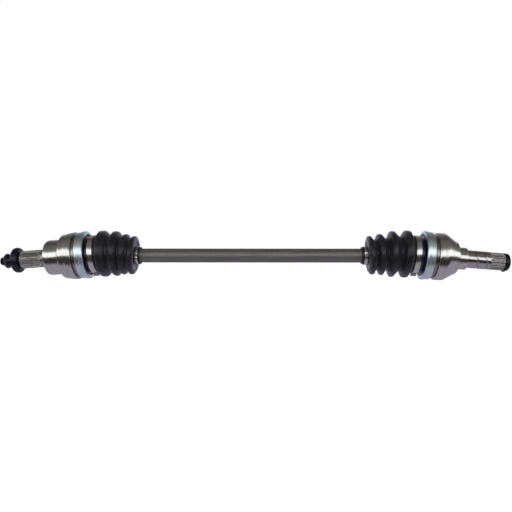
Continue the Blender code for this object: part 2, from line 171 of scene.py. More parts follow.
def shade(item):
    """Smooth shading, with hard edges kept."""
    item.data.shade_smooth()
    item.data.set_sharp_from_angle(angle=SMOOTH_ANGLE)


def link(name, mesh, place, material=None):
    """Put a mesh in the scene as one piece."""
    item = bpy.data.objects.new(name, mesh)
    item.matrix_world = place
    bpy.context.scene.collection.objects.link(item)
    if material:
        mesh.materials.append(material)
    return item


def turned(name, points, place, material, steps=ROUND_STEPS, closed=False, shape=None):
    """Turn a (u, r) profile about the frame's Z; shape can move each (u, r, azimuth)."""
    work = bmesh.new()
    rings = []
    for u, r in points:
        if r < TINY and not closed:
            rings.append([work.verts.new((0.0, 0.0, u * MM))])
            continue
        ring = []
        for k in range(steps):
            angle = 2 * math.pi * k / steps
            at_u, at_r = (u, r) if shape is None else shape(u, r, angle)
            ring.append(
                work.verts.new(
                    (at_r * MM * math.cos(angle), at_r * MM * math.sin(angle), at_u * MM)
                )
            )
        rings.append(ring)
    pairs = list(zip(rings, rings[1:]))
    if closed:
        pairs.append((rings[-1], rings[0]))
    for first, second in pairs:
        for k in range(steps):
            after = (k + 1) % steps
            if len(first) == 1:
                work.faces.new((first[0], second[k], second[after]))
            elif len(second) == 1:
                work.faces.new((first[k], second[0], first[after]))
            else:
                work.faces.new((first[k], second[k], second[after], first[after]))
    bmesh.ops.recalc_face_normals(work, faces=work.faces[:])
    mesh = bpy.data.meshes.new(name)
    work.to_mesh(mesh)
    work.free()
    item = link(name, mesh, place, material)
    shade(item)
    return item


def azimuth(degrees):
    """Turn about the joint's own axis; 0 is up."""
    return Matrix.Rotation(math.radians(degrees), 4, "Z")


def offset(x=0.0, y=0.0, z=0.0):
    """Shift in mm."""
    return Matrix.Translation(Vector((x, y, z)) * MM)


def box(name, size, place, bevel=0.0):
    """Box with sides in mm and an optional rounded edge."""
    work = bmesh.new()
    bmesh.ops.create_cube(work, size=1.0)
    for vert in work.verts:
        vert.co = Vector([c * s * MM for c, s in zip(vert.co, size)])
    if bevel:
        bmesh.ops.bevel(
            work, geom=work.edges[:], offset=bevel * MM, segments=3, affect="EDGES"
        )
    mesh = bpy.data.meshes.new(name)
    work.to_mesh(mesh)
    work.free()
    return link(name, mesh, place)


def combine(item, others, operation):
    """Apply exact Booleans with other shapes, which are then removed."""
    for other in others:
        step = item.modifiers.new("join", "BOOLEAN")
        step.operation = operation
        step.solver = "EXACT"
        step.object = other
    bpy.context.view_layer.update()
    graph = bpy.context.evaluated_depsgraph_get()
    mesh = bpy.data.meshes.new_from_object(item.evaluated_get(graph))
    mesh.name = item.name
    item.modifiers.clear()
    item.data = mesh
    for other in others:
        bpy.data.objects.remove(other, do_unlink=True)
    shade(item)


# ---------------------------------------------------------------- materials


class Nodes:
    """Small helper for building a node tree."""

    def __init__(self, tree):
        self.tree = tree

    def add(self, kind, **values):
        node = self.tree.nodes.new(kind)
        for key, value in values.items():
            setattr(node, key, value)
        return node

    def join(self, source, target):
        self.tree.links.new(source, target)

    def put(self, target, value):
        """Set a socket to a number or colour, or feed it from another socket."""
        if isinstance(value, bpy.types.NodeSocket):
            self.join(value, target)
        else:
            target.default_value = value

    def math(self, operation, first, second=0.0, third=0.0):
        node = self.add("ShaderNodeMath", operation=operation)
        for socket, value in zip(node.inputs, (first, second, third)):
            self.put(socket, value)
        return node.outputs[0]

    def band(self, value, low, high, to_low=0.0, to_high=1.0):
        node = self.add("ShaderNodeMapRange", interpolation_type="SMOOTHSTEP")
        for socket, number in zip(node.inputs, (value, low, high, to_low, to_high)):
            self.put(socket, number)
        return node.outputs[0]

    def mix(self, factor, first, second):
        node = self.add("ShaderNodeMix", data_type="RGBA")
        self.put(node.inputs["Factor"], factor)
        self.put(node.inputs["A"], first)
        self.put(node.inputs["B"], second)
        return node.outputs["Result"]

    def noise(self, vector, scale, detail=3.0, roughness=0.55):
        node = self.add("ShaderNodeTexNoise")
        self.put(node.inputs["Vector"], vector)
        node.inputs["Scale"].default_value = scale
        node.inputs["Detail"].default_value = detail
        node.inputs["Roughness"].default_value = roughness
        return node.outputs["Fac"]

    def combine(self, x, y, z):
        node = self.add("ShaderNodeCombineXYZ")
        for socket, value in zip(node.inputs, (x, y, z)):
            self.put(socket, value)
        return node.outputs[0]

    def split(self, vector):
        node = self.add("ShaderNodeSeparateXYZ")
        self.join(vector, node.inputs[0])
        return node.outputs

    def seen_as(self, direct, reflected):
        """One shader where the camera looks straight at it, and another in reflections."""
        path = self.add("ShaderNodeLightPath")
        mix = self.add("ShaderNodeMixShader")
        self.join(path.outputs["Is Camera Ray"], mix.inputs["Fac"])
        self.join(reflected, mix.inputs[1])
        self.join(direct, mix.inputs[2])
        return mix.outputs[0]


class Surface(Nodes):
    """A new material and its node tree."""

    def __init__(self, name):
        self.material = bpy.data.materials.new(name)
        self.material.use_nodes = True
        super().__init__(self.material.node_tree)
        self.shader = self.tree.nodes["Principled BSDF"]
        self.coord = self.add("ShaderNodeTexCoord").outputs["Object"]

    def around_axis(self):
        """Distance along, distance from and angle about the piece's own axis."""
        x, y, z = self.split(self.coord)
        squares = self.math("ADD", self.math("MULTIPLY", x, x), self.math("MULTIPLY", y, y))
        return z, self.math("SQRT", squares), self.math("ARCTAN2", y, x)

    def rings(self, scale, twist):
        """Noise drawn out into rings about the axis; twist is how fast it changes along them."""
        u, r, angle = self.around_axis()
        return self.noise(self.combine(u, r, self.math("MULTIPLY", angle, twist)), scale, 2.0)

    def blend(self, first, first_share, second):
        """Weighted mean of two textures."""
        return self.math(
            "ADD",
            self.math("MULTIPLY", first, first_share),
            self.math("MULTIPLY", second, 1 - first_share),
        )

    def finish(self, colour, roughness, metallic=0.0):
        """Feed the shader, and hand over the material."""
        self.put(self.shader.inputs["Base Color"], colour)
        self.put(self.shader.inputs["Roughness"], roughness)
        self.shader.inputs["Metallic"].default_value = metallic
        return self.material

    def bump(self, height, strength, distance):
        node = self.add("ShaderNodeBump")
        node.inputs["Strength"].default_value = strength
        node.inputs["Distance"].default_value = distance
        self.join(height, node.inputs["Height"])
        self.join(node.outputs["Normal"], self.shader.inputs["Normal"])


def grey(value, warm=0.0):
    """A grey, a little warm or cold."""
    return (value * (1 + warm), value, value * (1 - warm), 1.0)


def turned_steel(name, light, dark, rough):
    """Lathe-turned steel: fine rings round the axis and faint stains."""
    steel = Surface(name)
    fine = steel.rings(2600.0, 0.0006)
    broad = steel.rings(420.0, 0.002)
    stain = steel.noise(steel.coord, 55.0, 4.0, 0.6)
    tone = steel.blend(fine, 0.5, broad)
    clean = steel.mix(steel.band(tone, 0.38, 0.62), dark, light)
    colour = steel.mix(steel.band(stain, 0.5, 0.75, 0.0, 0.35), clean, dark)
    steel.bump(tone, 0.16, 0.00003)
    return steel.finish(colour, steel.band(tone, 0.3, 0.7, rough + 0.07, rough - 0.05), 1.0)


def streaked_steel(name, dark, light, rough_low, rough_high, metallic):
    """Dull drawn steel: long streaks, a little scale, low shine."""
    steel = Surface(name)
    u, _, angle = steel.around_axis()
    ring_x = steel.math("COSINE", angle)
    ring_y = steel.math("SINE", angle)
    long = steel.combine(steel.math("MULTIPLY", u, 3.0), ring_x, ring_y)
    short = steel.combine(steel.math("MULTIPLY", u, 12.0), ring_x, ring_y)
    streak = steel.noise(long, 7.0, 5.0, 0.65)
    fine = steel.noise(short, 38.0)
    scale = steel.noise(steel.coord, 320.0)
    colour = steel.mix(steel.band(steel.blend(streak, 0.65, fine), 0.35, 0.66), dark, light)
    steel.bump(steel.math("ADD", fine, scale), 0.2, 0.00004)
    roughness = steel.band(scale, 0.3, 0.7, rough_low, rough_high)
    return steel.finish(colour, roughness, metallic)


def ground_steel(name):
    """Ground and polished steel with faint grinding lines."""
    steel = Surface(name)
    lines = steel.rings(5200.0, 0.0004)
    haze = steel.noise(steel.coord, 90.0)
    colour = steel.mix(lines, grey(0.42), grey(0.50))
    steel.bump(lines, 0.08, 0.00002)
    return steel.finish(colour, steel.band(haze, 0.35, 0.7, 0.10, 0.18), 1.0)


def zinc(name):
    """Pale blue-white zinc plate on pressed sheet, with a faint clouding."""
    plate = Surface(name)
    cloud = plate.band(plate.noise(plate.coord, 70.0, 4.0, 0.6), 0.35, 0.7)
    fine = plate.rings(1500.0, 0.004)
    colour = plate.mix(cloud, (0.58, 0.69, 0.75, 1.0), (0.74, 0.82, 0.86, 1.0))
    plate.bump(fine, 0.15, 0.00004)
    return plate.finish(colour, plate.band(fine, 0.3, 0.7, 0.29, 0.38), 1.0)


def black_paint(name):
    """Glossy black paint with a faint orange-peel surface; its blue cast, in the colour and in
    the specular tint, is a painted blue reflection.
    """
    paint = Surface(name)
    thin = paint.band(paint.noise(paint.coord, 130.0, 3.0, 0.6), 0.4, 0.75)
    peel = paint.noise(paint.coord, 700.0, 2.0)
    # The blue in these two blacks is a painted reflection.
    colour = paint.mix(thin, (0.007, 0.009, 0.022, 1.0), (0.014, 0.017, 0.036, 1.0))
    paint.shader.inputs["Specular IOR Level"].default_value = 0.8
    # Blue specular tint: painted reflection.
    paint.shader.inputs["Specular Tint"].default_value = (0.62, 0.78, 1.0, 1.0)
    paint.bump(peel, 0.12, 0.00005)
    return paint.finish(colour, paint.band(peel, 0.3, 0.7, 0.22, 0.30))


def stainless(name):
    """Rolled stainless strip, brushed along its length."""
    strip = Surface(name)
    brushed = strip.rings(4200.0, 0.0008)
    colour = strip.mix(brushed, grey(0.46, 0.03), grey(0.66, 0.02))
    strip.bump(brushed, 0.15, 0.00002)
    return strip.finish(colour, strip.band(brushed, 0.3, 0.7, 0.16, 0.25), 1.0)


def black_oxide(name):
    """Blackened steel with a blue cast and slightly rubbed patches."""
    steel = Surface(name)
    worn = steel.noise(steel.coord, 140.0, 4.0, 0.6)
    grain = steel.noise(steel.coord, 1400.0, 2.0)
    rubbed = steel.band(worn, 0.45, 0.75)
    colour = steel.mix(rubbed, (0.020, 0.020, 0.036, 1.0), (0.060, 0.058, 0.085, 1.0))
    steel.bump(grain, 0.2, 0.00004)
    return steel.finish(colour, steel.band(worn, 0.3, 0.7, 0.36, 0.28), 0.75)


def rubber(name):
    """Moulded black rubber: satin skin, fine pores, a faint violet sheen at the edges."""
    skin = Surface(name)
    pores = skin.noise(skin.coord, 1800.0, 3.0, 0.6)
    bloom = skin.noise(skin.coord, 60.0, 4.0, 0.6)
    dusty = skin.band(bloom, 0.4, 0.75)
    colour = skin.mix(dusty, (0.013, 0.013, 0.0135, 1.0), (0.022, 0.022, 0.023, 1.0))
    skin.shader.inputs["Specular IOR Level"].default_value = 0.38
    skin.shader.inputs["Specular Tint"].default_value = (0.86, 0.84, 1.0, 1.0)
    skin.shader.inputs["Sheen Weight"].default_value = 0.36
    skin.shader.inputs["Sheen Roughness"].default_value = 0.38
    skin.shader.inputs["Sheen Tint"].default_value = (0.66, 0.64, 1.0, 1.0)
    skin.bump(pores, 0.25, 0.00006)
    return skin.finish(colour, skin.band(bloom, 0.35, 0.7, 0.27, 0.36))


CUP_STEEL = turned_steel("cup_steel", grey(0.58, 0.02), grey(0.48, 0.03), 0.17)
SPLINE_STEEL = streaked_steel(
    "spline_steel", grey(0.14, 0.04), grey(0.56, 0.03), 0.26, 0.40, 1.0
)
CAGE_STEEL = turned_steel("cage_steel", grey(0.40, 0.03), grey(0.28, 0.03), 0.32)
BAR_STEEL = streaked_steel("bar_steel", grey(0.14, 0.03), grey(0.24, 0.02), 0.44, 0.58, 0.7)
GROUND_STEEL = ground_steel("ground_steel")
# Darker, browner steel for the clamps' ears: painted shade on the ear.
EAR_SHADE_STEEL = turned_steel("ear_steel_painted_shade", grey(0.16, 0.05), grey(0.09, 0.05), 0.30)
# Darker steel for the groove beside each guard ring.
DARK_GROOVE_STEEL = turned_steel("dark_groove_steel", grey(0.36, 0.04), grey(0.22, 0.05), 0.24)
ZINC = zinc("zinc_plate")
BLACK_PAINT = black_paint("black_paint")
STAINLESS = stainless("stainless_band")
BLACK_OXIDE = black_oxide("black_oxide")
RUBBER = rubber("boot_rubber")


# ---------------------------------------------------------------- steel pieces


def finished(item, body, *nodes):
    """Fix a piece to its body and let it stand for its CAD nodes."""
    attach(item, body)
    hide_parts(*nodes)
    return item


def lay_materials(item, materials, choose):
    """Add materials to a piece; choose(u, r) names a face's one, or None for the first."""
    for material in materials:
        item.data.materials.append(material)
    slots = {material: k for k, material in enumerate(item.data.materials)}
    for face in item.data.polygons:
        x, y, z = face.center
        material = choose(z / MM, math.hypot(x, y) / MM)
        if material:
            face.material_index = slots[material]


def ring_tracks(place, tube_r):
    """Three ring-shaped cutters about the outer joint's centre: six curved ball tracks."""
    cutters = []
    loop = arc(0.0, tube_r, 360.0, 0.0, 28, OUTER_PITCH_R)[:-1]
    lay_over = Matrix.Rotation(math.radians(90.0), 4, "X")
    for k in range(BALL_COUNT // 2):
        spot = place @ azimuth(2 * BALL_STEP * k) @ lay_over
        cutters.append(turned(f"track_{k}", loop, spot, None, steps=96, closed=True))
    return cutters


def straight_tracks(place, low, high):
    """Six straight ball tracks parallel to the inner joint's axis."""
    cutters = []
    points = [(high, 0.0), (high, INNER_TRACK_R), (low, INNER_TRACK_R), (low, 0.0)]
    for k in range(BALL_COUNT):
        spot = place @ azimuth(BALL_STEP * k) @ offset(x=INNER_PITCH_R)
        cutters.append(turned(f"track_{k}", points, spot, None, steps=32))
    return cutters


def spline_shape(root_r, low, high):
    """Sink the gaps of spline teeth into a turned surface between two lengths."""
    runout = 1.6
    steepness, sunk = 6.4, 1.15

    def shape(u, r, angle):
        if not low <= u <= high or r < root_r - 0.3:
            return u, r
        phase = (angle * SPLINE_TEETH / (2 * math.pi)) % 1.0
        from_gap = 0.5 - abs(phase - 0.5)
        flank = min(max(from_gap * steepness - sunk, 0.0), 1.0)
        ease = min(1.0, (u - low) / runout, (high - u) / runout)
        return u, r + (root_r - r) * (1 - flank) * max(ease, 0.0)

    return shape


def outer_housing():
    """Outer cup, journal, splined stub and threaded tip."""
    spline_r = 13.2
    thread_r, thread_root_r, thread_pitch = 5.9, 5.2, 1.25
    thread = [(118.8, 0.0), (118.8, 4.7), (117.6, thread_r)]
    for k in range(7):
        edge_r = thread_r if k % 2 == 0 else thread_root_r
        thread.append((117.2 - k * thread_pitch / 2, edge_r))
    stub = [
        (112.0, thread_r),
        (88.1, thread_r),
        (88.0, 11.8),
        (86.6, spline_r),
        (55.8, spline_r),
        (55.0, 12.4),
        (54.0, 12.4),
        (53.6, 13.6),
        (50.0, 13.7),
        (49.4, 14.2),
        (49.4, 17.0),
    ]
    body = [
        (49.2, 19.0),
        (48.3, 22.4),
        (46.9, 24.8),
        (45.2, 25.8),
        (43.8, 26.1),
        (25.7, 26.1),
        (25.2, 25.5),
        (24.9, 25.6),
        (24.7, 27.2),
        (24.3, 30.2),
        (23.1, 32.0),
        (21.2, 32.9),
        (18.5, 33.2),
        (15.0, 33.7),
        (12.0, 34.6),
        (9.0, 35.0),
        (6.0, 35.2),
        (3.5, 35.0),
        (2.8, 31.6),
        (-1.0, 31.6),
        (-1.3, 33.2),
        (-9.3, 33.2),
        (-10.9, 31.5),
        (-14.0, 26.5),
        (-14.5, 25.3),
        (-28.0, 25.3),
        (-28.6, 24.6),
        (-28.6, 22.8),
        (-11.0, 20.8),
    ]
    cavity_r = 23.7
    reach = math.degrees(math.asin(11.0 / cavity_r))
    cavity = arc(0.0, cavity_r, -reach, 48.0, 24)[1:]
    cavity += [(28.3, 15.2), (29.0, 14.0), (29.4, 0.0)]
    profile = thread + rounded(stub + body, 0.9, 3) + cavity
    fine = densified(profile, 3.0)
    shape = spline_shape(12.0, 55.4, 87.4)
    item = turned("outer_cup_body", fine, OUTER_CUP, CUP_STEEL, steps=240, shape=shape)
    combine(item, ring_tracks(OUTER_CUP, 7.35), "DIFFERENCE")

    def material_at(u, r):
        if u > 100.0:
            return BLACK_OXIDE
        if u > 49.5:
            return SPLINE_STEEL
        # The groove beside the guard ring takes the darker steel.
        if -1.6 < u < 3.4:
            return DARK_GROOVE_STEEL
        return BLACK_PAINT if u < -9.2 else None

    lay_materials(item, (SPLINE_STEEL, BLACK_OXIDE, DARK_GROOVE_STEEL, BLACK_PAINT), material_at)
    finished(item, "outer_cup", "outer_joint_housing")


def inner_shape():
    """Spline teeth near the end of the inner stub, and a spiral groove on its journal."""
    teeth = spline_shape(11.9, 91.2, 112.9)
    start, end, pitch = 60.5, 89.8, 13.5
    half_width, depth = 1.7, 1.1

    def shape(u, r, angle):
        u, r = teeth(u, r, angle)
        if start < u < end and r > JOURNAL_R - 0.6:
            phase = ((u - start) / pitch - angle / (2 * math.pi)) % 1.0
            away = abs(phase - 0.5) * pitch
            r -= depth * max(0.0, 1 - (away / half_width) ** 2)
        return u, r

    return shape


def inner_housing():
    """Inner cup, collar, ground journal, spline and nose."""
    outside = [
        (121.2, 0.0),
        (121.2, 8.6),
        (120.2, 11.6),
        (118.6, 13.0),
        (115.8, 13.2),
        (115.5, 12.0),
        (115.5, 10.2),
        (113.1, 10.2),
        (113.0, 11.9),
        (112.2, 13.1),
        (91.8, 13.1),
        (91.2, 12.4),
        (90.4, JOURNAL_R),
        (57.2, JOURNAL_R),
        (56.8, 13.0),
        (56.3, JOURNAL_R),
        (56.3, 16.0),
        (55.8, 16.6),
        (42.8, 16.6),
        (42.0, 18.0),
        (41.6, 23.4),
        (41.0, 24.2),
        (39.6, 24.9),
        (38.0, 25.5),
        (36.0, 26.8),
        (33.0, 28.7),
        (30.0, 30.7),
        (27.0, 32.6),
        (24.0, 34.4),
        (21.5, 35.3),
        (19.0, 35.5),
        (12.5, 35.5),
        (9.9, 35.2),
        (8.8, 34.4),
        (8.2, 31.4),
        (4.6, 31.4),
        (4.2, 33.1),
        (-6.8, 33.2),
        (-8.2, 31.5),
        (-11.0, 26.5),
        (-11.6, 25.3),
        (-26.2, 25.3),
        (-26.8, 24.6),
    ]
    inside = [
        (-26.8, 22.2),
        (-25.8, 20.9),
        (-22.6, 20.9),
        (-22.6, 22.7),
        (-19.4, 22.7),
        (-19.4, 20.9),
        (22.0, 20.9),
        (24.5, 11.0),
        (27.0, 0.0),
    ]
    profile = rounded(outside, 0.8, 3) + inside
    journal_low, journal_high = 56.0, 91.0
    fine = []
    for start, end in zip(profile, profile[1:]):
        journal = start[0] < journal_high and end[0] > journal_low and start[1] > 12.0
        stretch = densified([start, end], 0.45 if journal else 3.0)
        fine += stretch if not fine else stretch[1:]
    item = turned(
        "inner_cup_body", fine, INNER_CUP, CUP_STEEL, steps=240, shape=inner_shape()
    )
    combine(item, straight_tracks(INNER_CUP, -30.0, 17.5), "DIFFERENCE")

    def material_at(u, r):
        if u > 112.9:
            return BLACK_OXIDE
        if u > journal_high:
            return SPLINE_STEEL
        if u > 56.4 and r > 12.0:
            # Faces in the spiral groove take the darker spline steel: painted shade in the
            # groove.
            in_groove = u > 58.0 and r < JOURNAL_R - 0.35
            return SPLINE_STEEL if in_groove else GROUND_STEEL
        # The groove beside the guard ring takes the darker steel.
        if 3.7 < u < 8.6:
            return DARK_GROOVE_STEEL
        return BLACK_PAINT if u < -6.7 else None

    extra = (GROUND_STEEL, BLACK_OXIDE, SPLINE_STEEL, DARK_GROOVE_STEEL, BLACK_PAINT)
    lay_materials(item, extra, material_at)
    finished(item, "inner_cup", "inner_joint_housing")


def bar():
    """The bar, with its necks, race seats and circlip grooves."""
    length = (INNER_CENTRE.x - OUTER_CENTRE.x) / MM
    outer = [(13.0, 0.0), (13.0, 8.2), (12.2, 9.0), (11.2, 9.0), (11.2, 7.6), (9.2, 7.6)]
    outer += [(9.2, 9.0), (-30.0, 9.0), (-40.0, BAR_R)]
    inner = [(48.0, BAR_R), (43.0, 8.6), (-8.2, 8.6), (-8.2, 7.2), (-10.2, 7.2)]
    inner += [(-10.2, 8.6), (-12.2, 8.6), (-13.0, 7.8), (-13.0, 0.0)]
    points = rounded([(length + u, r) for u, r in outer] + inner, 0.5, 3)
    place = joint_frame(INNER_CENTRE, -1, 0.0)
    item = turned("bar", points, place, BAR_STEEL, steps=96)
    finished(item, "shaft", "axle_bar")


def race(name, node, place, radius, half, bore_r, cutters):
    """Inner race: a grooved ball segment."""
    reach = math.degrees(math.asin(half / radius))
    points = arc(0.0, radius, reach, -reach, 16) + [(-half, bore_r), (half, bore_r)]
    item = turned(name, points, place, GROUND_STEEL, steps=96, closed=True)
    combine(item, cutters, "DIFFERENCE")
    finished(item, "shaft", node)


def cage(name, node, body, place, out_r, in_r, half, window):
    """Ball cage with six rounded windows, each (length along the axis, width round it)."""
    reach_out = math.degrees(math.asin(half / out_r))
    reach_in = math.degrees(math.asin(half / in_r))
    points = arc(0.0, out_r, reach_out, -reach_out, 16)
    points += arc(0.0, in_r, -reach_in, reach_in, 16)
    item = turned(name, points, place, CAGE_STEEL, steps=96, closed=True)
    cutters = []
    for k in range(BALL_COUNT):
        spot = place @ azimuth(BALL_STEP * k) @ offset(x=(out_r + in_r) / 2)
        size = (out_r - in_r + 8.0, window[1], window[0])
        cutters.append(box(f"window_{k}", size, spot, bevel=1.6))
    combine(item, cutters, "DIFFERENCE")
    finished(item, body, node)


def balls(prefix, place, pitch_r, ball_r, bodies):
    """Six polished bearing balls."""
    for k in range(BALL_COUNT):
        points = arc(0.0, ball_r, 90.0, -90.0, 24)
        points[0] = (ball_r, 0.0)
        points[-1] = (-ball_r, 0.0)
        spot = place @ azimuth(BALL_STEP * k) @ offset(x=pitch_r)
        name = f"{prefix}_ball_{k + 1}"
        item = turned(f"{name}_polished", points, spot, GROUND_STEEL, steps=48)
        finished(item, bodies[k], name)


def square_ring(high, low, out_r, in_r):
    """Closed profile of a rectangular ring, outer side first."""
    return [(high, out_r), (low, out_r), (low, in_r), (high, in_r)]


def snap_ring(name, node, body, place, points, slot_width, radius, material):
    """Turned ring opened by a slot at the top."""
    item = turned(name, points, place, material, steps=96, closed=True)
    spot = place @ offset(x=radius, z=points[0][0])
    combine(item, [box("slot", (12.0, slot_width, 12.0), spot)], "DIFFERENCE")
    finished(item, body, node)


def protector_ring(name, node, body, place, mouth_u, seat_u, lip_r, band_r):
    """Pressed zinc guard ring: a band, a wider rolled lip, and a mouth folded inwards."""
    inside_r = 33.5
    fold_r = lip_r - 5.0
    points = [
        (seat_u, 34.0),
        (seat_u - 0.5, 34.4),
        (seat_u - 1.5, band_r),
        (mouth_u + 5.8, band_r),
        (mouth_u + 4.8, lip_r - 0.1),
        (mouth_u + 2.2, lip_r),
        (mouth_u + 0.9, lip_r - 0.3),
        (mouth_u, lip_r - 1.5),
        (mouth_u - 0.1, lip_r - 3.0),
        (mouth_u + 0.1, fold_r),
        (mouth_u + 0.9, fold_r),
        (mouth_u + 1.0, lip_r - 3.0),
        (mouth_u + 1.3, lip_r - 2.4),
        (mouth_u + 3.0, inside_r),
        (seat_u, inside_r),
    ]
    smooth = rounded(points, 0.8, 3, closed=True)
    item = turned(name, smooth, place, ZINC, steps=160, closed=True)
    finished(item, body, node)


def band_clamp(name, node, body, place, high, low, out_r, in_r, ear_at, ear_size):
    """Strip clamp with an overlapped end and a crimped ear at an azimuth."""
    overlap = math.radians(30.0)
    lift, edge, slope = 0.5, 0.03, 0.12
    start = math.radians(ear_at - 40.0)

    def shape(u, r, angle):
        away = (angle - start) % (2 * math.pi)
        ease = min(1.0, away / edge, max(0.0, (overlap - away) / slope))
        grown = lift * ease if away < overlap else 0.0
        return u, r + (grown if r > (out_r + in_r) / 2 else 0.0)

    points = rounded(square_ring(high, low, out_r, in_r), 0.3, 3, closed=True)
    item = turned(name, points, place, STAINLESS, steps=160, closed=True, shape=shape)
    mid_u = (high + low) / 2
    width = (high - low) * 0.94
    proud, long = ear_size
    spot = place @ azimuth(ear_at) @ offset(x=out_r + proud / 2 - 0.4, z=mid_u)
    ear = box(f"{name}_ear", (proud + 0.8, long, width), spot, bevel=0.45)
    dent_spot = spot @ offset(x=proud / 2 + 0.3)
    dent = box(f"{name}_dent", (1.0, long * 0.3, width + 1.0), dent_spot, bevel=0.2)
    combine(ear, [dent], "DIFFERENCE")
    combine(item, [ear], "UNION")
    strip_r = out_r + lift + 0.15
    # The ear's faces take the darker steel: painted shade on the ear.
    lay_materials(item, (EAR_SHADE_STEEL,), lambda u, r: EAR_SHADE_STEEL if r > strip_r else None)
    finished(item, body, node)


def hub_washer():
    """Thick washer with a rounded rim."""
    points = [
        (98.8, 15.2),
        (98.2, 17.0),
        (96.6, 18.4),
        (94.2, 18.9),
        (91.6, 18.7),
        (89.8, 17.5),
        (88.8, 15.7),
        (88.8, 13.7),
        (89.2, 13.3),
        (89.2, 6.6),
        (98.8, 6.6),
    ]
    smooth = rounded(points, 1.2, 4, closed=True)
    item = turned("hub_washer_body", smooth, OUTER_CUP, BLACK_OXIDE, steps=128, closed=True)
    finished(item, "outer_cup", "hub_washer")


def hub_nut():
    """Hexagon nut with chamfered corners and a conical collar."""
    across_flats = 19.0
    hexagon_from = 105.6
    bore_r = 7.0
    points = [
        (112.4, 6.4),
        (112.4, 8.8),
        (110.8, 11.1),
        (107.6, 11.1),
        (106.4, 9.6),
        (105.0, 8.7),
        (103.4, 8.4),
        (100.0, 10.6),
        (99.2, 11.2),
        (99.1, 10.6),
        (99.1, 6.3),
    ]

    def hexagon(u, r, angle):
        if u < hexagon_from or r < bore_r:
            return u, r
        phase = angle % math.radians(60.0) - math.radians(30.0)
        return u, min(r, across_flats / 2 / math.cos(phase))

    fine = densified(rounded(points, 0.4, 3, closed=True), 1.0)
    item = turned(
        "hub_nut_body", fine, OUTER_CUP, BLACK_OXIDE, steps=144, closed=True, shape=hexagon
    )
    finished(item, "outer_cup", "hub_nut")


# ---------------------------------------------------------------- rubber boots


def boot_outline(cuff, pleats, neck):
    """A boot's wall as rows of outer (s, r) and inner (s, r); s runs inboard of the centre."""
    outside = list(cuff)
    for top_s, top_r, flat, valley_s, valley_r in pleats:
        outside += [(top_s - flat, top_r - 0.25), (top_s, top_r), (top_s + flat, top_r - 0.25)]
        if valley_s:
            outside.append((valley_s, valley_r))
    outside += neck
    smooth = densified(rounded(outside, 3.2, 8), 1.2)
    wall = []
    for i, (s, r) in enumerate(smooth):
        before = smooth[max(i - 1, 0)]
        after = smooth[min(i + 1, len(smooth) - 1)]
        along = Vector((after[0] - before[0], after[1] - before[1])).normalized()
        wall.append((s, r, s + along.y * BOOT_WALL, r - along.x * BOOT_WALL))
    return wall


def boot_sag(start, end, rise, end_slope, tilts):
    """Offset of the boot's centre line and tilt of its pleats, at s mm from the centre."""
    slope = math.tan(math.radians(tilts[0][1]))
    span = end - start

    def shape(s):
        tilt = math.radians(np.interp(s, *zip(*tilts)))
        if s < start:
            return s * slope, tilt
        t = min((s - start) / span, 1.0)
        height = (2 * t**3 - 3 * t**2 + 1) * start * slope
        height += (t**3 - 2 * t**2 + t) * span * slope
        height += (t**3 - t**2) * span * end_slope
        height += rise * math.sin(math.pi * t) ** 2
        return height, tilt

    return shape


def boot_piece(name, rows, sag, place):
    """Closed shell of one stretch of a boot, laid along its sagging centre line."""
    loop = [(-s, r) for s, r, _, _ in rows] + [(-s, r) for _, _, s, r in reversed(rows)]
    item = turned(name, loop, place, RUBBER, steps=144, closed=True)
    for vert in item.data.vertices:
        s = -vert.co.z / MM
        height, tilt = sag(s)
        up = vert.co.x
        vert.co.x = up * math.cos(tilt) + height * MM
        vert.co.z += up * math.sin(tilt)
    return item


def boot(prefix, side, centre, outline, sag, join_s):
    """A boot in two stretches that meet behind the crest of the first pleat."""
    place = joint_frame(centre, side, 0.0)
    split = min(range(len(outline)), key=lambda i: abs(outline[i][0] - join_s))
    cup_part = boot_piece(f"{prefix}_boot_cup_end", outline[: split + 1], sag, place)
    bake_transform(cup_part)
    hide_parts(f"{prefix}_boot")
    bar_part = boot_piece(f"{prefix}_boot_bar_end", outline[split:], sag, place)
    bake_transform(bar_part)
    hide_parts(f"{prefix}_boot")


def outer_boot():
    """Outer boot; each pleat is (top s, top r, half width of its top, valley s, valley r)."""
    cuff = [(17.6, 27.6), (28.2, 27.6), (29.6, 29.3), (30.2, 30.4)]
    pleats = [
        (35.7, 34.6, 4.0, 46.3, 26.8),
        (54.3, 33.6, 2.8, 61.8, 26.0),
        (67.2, 30.5, 2.0, 73.6, 24.6),
        (79.2, 28.9, 2.0, None, None),
    ]
    neck = [(83.2, 25.0), (83.4, 22.0), (82.4, 15.0), (82.8, 12.6)]
    neck += [(88.2, 12.6), (89.2, 13.4), (90.8, 12.6)]
    tilts = [(20.0, 4.4), (35.7, 3.7), (54.3, 0.9), (67.2, -3.3)]
    tilts += [(78.2, -4.9), (84.0, -3.2), (87.0, 0.0)]
    sag = boot_sag(20.0, 83.0, 0.8, -0.1, tilts)
    boot("outer", -1, OUTER_CENTRE, boot_outline(cuff, pleats, neck), sag, 37.5)


def inner_boot():
    """Inner boot, with its pleats given in the same way."""
    cuff = [(15.2, 27.6), (25.6, 27.6), (27.2, 29.3), (27.8, 31.0)]
    pleats = [
        (33.6, 35.5, 3.8, 42.8, 24.6),
        (54.8, 34.5, 2.6, 62.5, 21.6),
        (71.6, 31.0, 2.5, 78.8, 21.0),
        (85.9, 29.1, 2.3, None, None),
    ]
    neck = [(90.4, 25.0), (90.8, 21.0), (90.0, 15.0), (90.4, 12.9)]
    neck += [(96.8, 12.9), (98.0, 13.5), (99.8, 12.9)]
    tilts = [(18.0, 4.8), (33.4, 4.2), (54.9, 1.5), (71.5, -2.4)]
    tilts += [(85.3, -5.3), (90.0, -4.0), (94.0, 0.0)]
    sag = boot_sag(18.0, 92.0, 0.0, -0.1, tilts)
    boot("inner", 1, INNER_CENTRE, boot_outline(cuff, pleats, neck), sag, 37.0)


# ---------------------------------------------------------------- assembly


